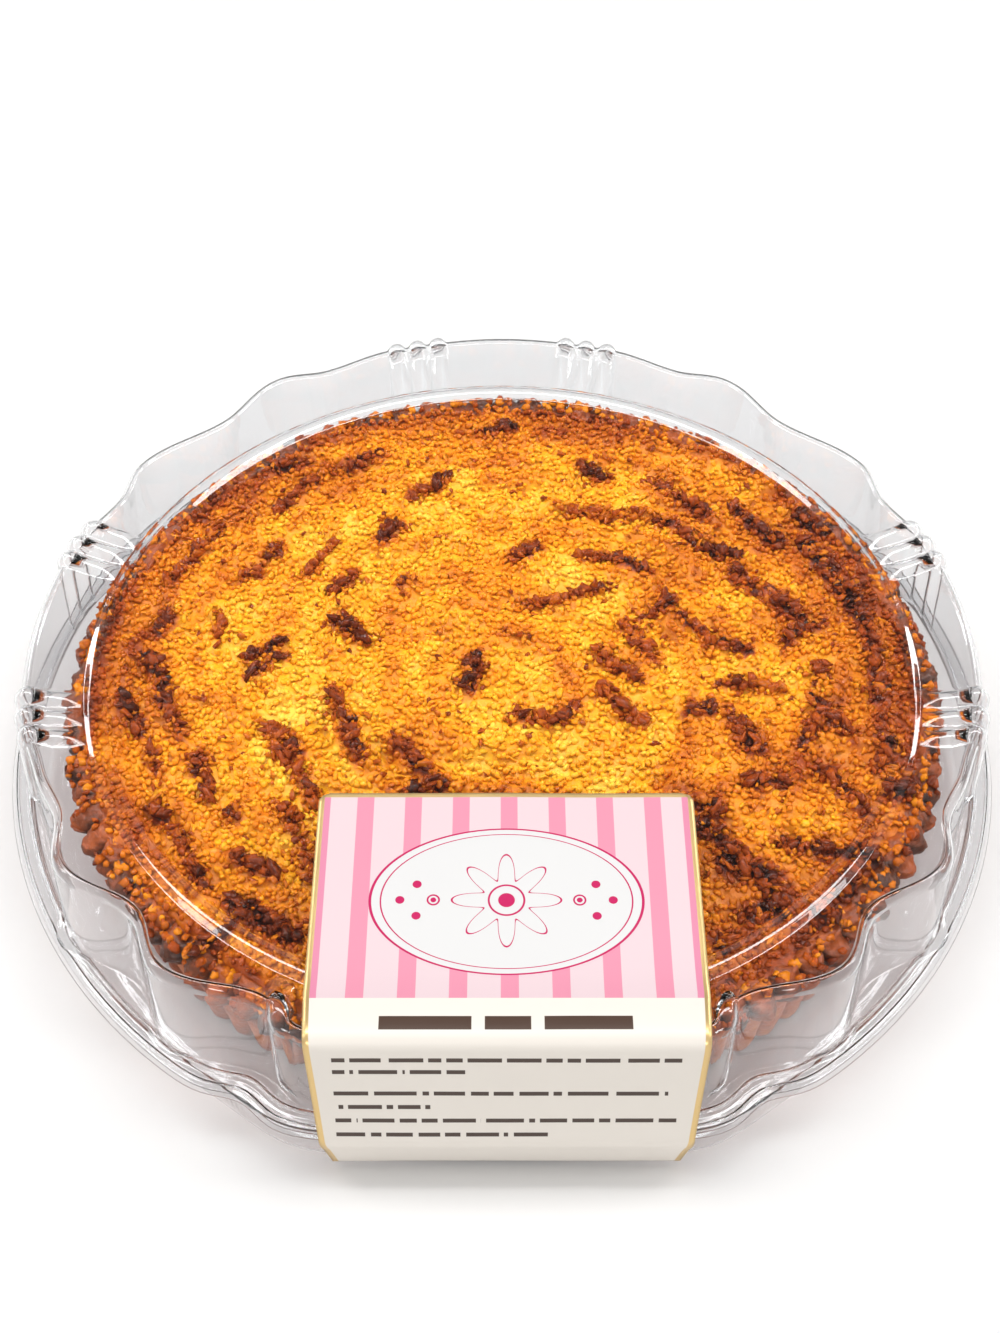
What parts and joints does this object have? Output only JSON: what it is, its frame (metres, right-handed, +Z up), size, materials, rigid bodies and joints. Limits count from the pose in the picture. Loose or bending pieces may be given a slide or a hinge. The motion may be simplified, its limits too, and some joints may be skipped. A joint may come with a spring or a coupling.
{
  "type": "packed coconut tart",
  "caption": "Baked coconut tart with a fluted pastry shell, in a shut clear tray and lid with a scalloped edge, sealed by a striped paper label over the front.",
  "frame": {"origin": "bottom centre of the whole pack, where the tray rests", "axes": "+Z up, -Y to the pack's straight front with the label, +X to the right seen from the front"},
  "size_m": [0.27, 0.2618, 0.0486],
  "materials": {
    "clear_tray": "clear thin thermoformed plastic",
    "clear_lid": "clear thin thermoformed plastic",
    "label_paper": "coated paper, satin",
    "baked_pastry": "browned shortcrust, dull",
    "coconut_filling": "baked coconut, moist"
  },
  "bodies": {
    "root": {"tray": "clear_tray", "lid": "clear_lid", "label": "label_paper", "crust": "baked_pastry", "filling": "coconut_filling"}
  },
  "joints": []
}
